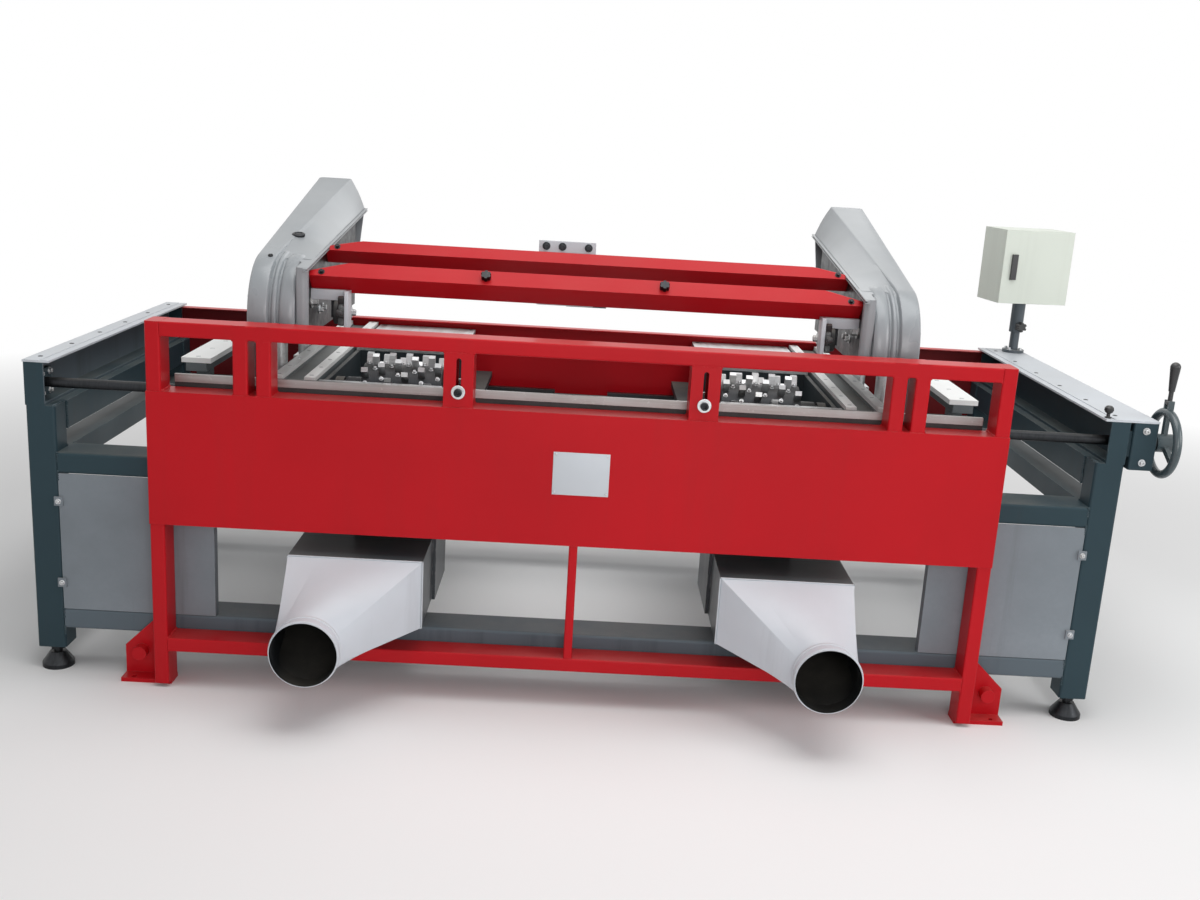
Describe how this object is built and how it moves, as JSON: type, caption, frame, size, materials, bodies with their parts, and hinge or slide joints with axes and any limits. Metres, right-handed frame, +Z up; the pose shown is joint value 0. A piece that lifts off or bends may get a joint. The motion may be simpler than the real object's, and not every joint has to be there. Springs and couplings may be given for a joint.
{
  "type": "board notching machine",
  "caption": "Floor-standing board notching machine with a red front guard, overhead feed arms, cutter carriages set by a handwheel screw, dust hoods and a control box.",
  "frame": {"origin": "on the floor, in the middle of the four levelling feet", "axes": "+X along the frame to the handwheel end, +Y from the front guard to the back, +Z up"},
  "size_m": [3.2272, 1.5841, 1.392],
  "materials": {
    "frame_paint": "semi-gloss enamel, dark teal",
    "guard_paint": "gloss enamel, red",
    "panel_paint": "semi-gloss enamel, mid grey",
    "pale_paint": "semi-gloss enamel, light grey",
    "box_paint": "powder coat, cream",
    "bed_paint": "semi-gloss enamel, near black",
    "steel": "machined",
    "knife_steel": "ground",
    "dark_steel": "oiled, dark",
    "motor_paint": "semi-gloss enamel",
    "black_rubber": "matt",
    "white_plastic": "smooth, pale",
    "black_plastic": "moulded, black"
  },
  "bodies": {
    "frame": {"end_frame_left": "frame_paint", "end_frame_right": "frame_paint", "long_rails": "frame_paint", "levelling_feet": "dark_steel", "beam_covers": "pale_paint", "side_panels": "panel_paint", "front_guard_frame": "guard_paint", "rear_guard": "guard_paint", "feed_track_left": "bed_paint", "feed_track_right": "bed_paint", "wear_strips": "white_plastic", "outer_supports": "bed_paint", "press_columns": "steel", "screw_bearings": "frame_paint", "slide_rails": "steel", "control_post": "pale_paint"},
    "stop_bar": {"stop_bar": "steel", "stop_bar_seal": "black_rubber", "stop_bar_bolts": "steel"},
    "screw": {"lead_screw": "dark_steel", "handwheel": "dark_steel"},
    "grip": {"handwheel_grip": "black_plastic"},
    "press": {"arm_cover_left": "pale_paint", "arm_cover_right": "pale_paint", "arm_beam_left": "dark_steel", "arm_beam_right": "dark_steel", "front_tie_bar": "guard_paint", "rear_tie_bar": "guard_paint", "feed_chains": "dark_steel", "feed_gearmotor": "motor_paint", "gearmotor_bracket": "pale_paint"},
    "feed_shaft": {"feed_shaft": "steel"},
    "control_box": {"control_box": "box_paint"},
    "control_door": {"control_door": "box_paint"},
    "door_latch": {"door_latch": "black_plastic"},
    "box_clamp_knob": {"box_clamp_knob": "black_plastic"},
    "carriage_left": {"carriage_left": "bed_paint", "table_left": "steel", "dust_hood_left": "pale_paint", "cutter_bearings_left": "dark_steel", "cutter_motor_left": "motor_paint", "drive_belt_left": "black_rubber"},
    "cutter_left": {"cutter_head_left": "dark_steel", "cutter_knives_left": "knife_steel"},
    "motor_pulley_left": {"motor_pulley_left": "dark_steel"},
    "idler_left": {"idler_sprocket_left": "dark_steel"},
    "roller_left": {"press_roller_left": "black_rubber"},
    "clamp_screw_left": {"clamp_screw_left": "dark_steel"},
    "carriage_right": {"carriage_right": "bed_paint", "table_right": "steel", "dust_hood_right": "pale_paint", "cutter_bearings_right": "dark_steel", "cutter_motor_right": "motor_paint", "drive_belt_right": "black_rubber"},
    "cutter_right": {"cutter_head_right": "dark_steel", "cutter_knives_right": "knife_steel"},
    "motor_pulley_right": {"motor_pulley_right": "dark_steel"},
    "idler_right": {"idler_sprocket_right": "dark_steel"},
    "roller_right": {"press_roller_right": "black_rubber"},
    "clamp_screw_right": {"clamp_screw_right": "dark_steel"}
  },
  "joints": [
    {"name": "stop_bar_slide", "type": "slide", "parent": "frame", "child": "stop_bar", "axis": [0, 0, 1], "range_m": [0, 0.085]},
    {"name": "screw_turn", "type": "hinge", "parent": "frame", "child": "screw", "pos_m": [0, -0.555, 0.838], "axis": [1, 0, 0], "range_deg": [0, 8640]},
    {"name": "grip_fold", "type": "hinge", "parent": "screw", "child": "grip", "pos_m": [1.6373, -0.555, 0.952], "axis": [0, 1, 0], "range_deg": [0, 90]},
    {"name": "press_lift", "type": "slide", "parent": "frame", "child": "press", "axis": [0, 0, 1], "range_m": [0, 0.08]},
    {"name": "feed_shaft_turn", "type": "hinge", "parent": "press", "child": "feed_shaft", "pos_m": [0, 0.15, 1.085], "axis": [1, 0, 0], "continuous": true},
    {"name": "control_box_swivel", "type": "hinge", "parent": "frame", "child": "control_box", "pos_m": [1.56, 0.545, 1.092], "axis": [0, 0, 1], "range_deg": [-60, 60]},
    {"name": "control_door_hinge", "type": "hinge", "parent": "control_box", "child": "control_door", "pos_m": [1.69816, 0.49095, 1.219], "axis": [0, 0, 1], "range_deg": [0, 110]},
    {"name": "door_latch_turn", "type": "hinge", "parent": "control_door", "child": "door_latch", "pos_m": [1.48716, 0.44234, 1.2195], "axis": [-0.1564, 0.9877, 0], "range_deg": [0, 90]},
    {"name": "box_clamp_turn", "type": "hinge", "parent": "control_box", "child": "box_clamp_knob", "pos_m": [1.56547, 0.51043, 1.002], "axis": [-0.1564, 0.9877, 0], "range_deg": [0, 720]},
    {"name": "carriage_slide_left", "type": "slide", "parent": "frame", "child": "carriage_left", "axis": [1, 0, 0], "range_m": [0, 0.24]},
    {"name": "cutter_spin_left", "type": "hinge", "parent": "carriage_left", "child": "cutter_left", "pos_m": [-0.52, -0.35, 0.815], "axis": [1, 0, 0], "continuous": true},
    {"name": "motor_spin_left", "type": "hinge", "parent": "carriage_left", "child": "motor_pulley_left", "pos_m": [-0.7, 0.06, 0.585], "axis": [1, 0, 0], "continuous": true},
    {"name": "idler_turn_left", "type": "hinge", "parent": "press", "child": "idler_left", "pos_m": [-0.825, -0.425, 1.085], "axis": [1, 0, 0], "continuous": true},
    {"name": "roller_turn_left", "type": "hinge", "parent": "press", "child": "roller_left", "pos_m": [-0.715, -0.3, 1.04], "axis": [1, 0, 0], "continuous": true},
    {"name": "clamp_turn_left", "type": "hinge", "parent": "press", "child": "clamp_screw_left", "pos_m": [-0.284, -0.44732, 1.17968], "axis": [0, -0.7071, 0.7071], "range_deg": [0, 720]},
    {"name": "carriage_slide_right", "type": "slide", "parent": "frame", "child": "carriage_right", "axis": [-1, 0, 0], "range_m": [0, 0.24]},
    {"name": "cutter_spin_right", "type": "hinge", "parent": "carriage_right", "child": "cutter_right", "pos_m": [0.52, -0.35, 0.815], "axis": [1, 0, 0], "continuous": true},
    {"name": "motor_spin_right", "type": "hinge", "parent": "carriage_right", "child": "motor_pulley_right", "pos_m": [0.7, 0.06, 0.585], "axis": [1, 0, 0], "continuous": true},
    {"name": "idler_turn_right", "type": "hinge", "parent": "press", "child": "idler_right", "pos_m": [0.825, -0.425, 1.085], "axis": [1, 0, 0], "continuous": true},
    {"name": "roller_turn_right", "type": "hinge", "parent": "press", "child": "roller_right", "pos_m": [0.715, -0.3, 1.04], "axis": [1, 0, 0], "continuous": true},
    {"name": "clamp_turn_right", "type": "hinge", "parent": "press", "child": "clamp_screw_right", "pos_m": [0.216, -0.44732, 1.17968], "axis": [0, -0.7071, 0.7071], "range_deg": [0, 720]}
  ],
  "couplings": [
    {"joint": "motor_spin_left", "follows": "cutter_spin_left", "ratio": 0.56667},
    {"joint": "idler_turn_left", "follows": "feed_shaft_turn", "ratio": 1},
    {"joint": "motor_spin_right", "follows": "cutter_spin_right", "ratio": 0.56667},
    {"joint": "idler_turn_right", "follows": "feed_shaft_turn", "ratio": 1},
    {"joint": "screw_turn", "follows": "carriage_slide_left", "rad_per_m": 628.32},
    {"joint": "carriage_slide_right", "follows": "carriage_slide_left", "ratio": 1}
  ]
}
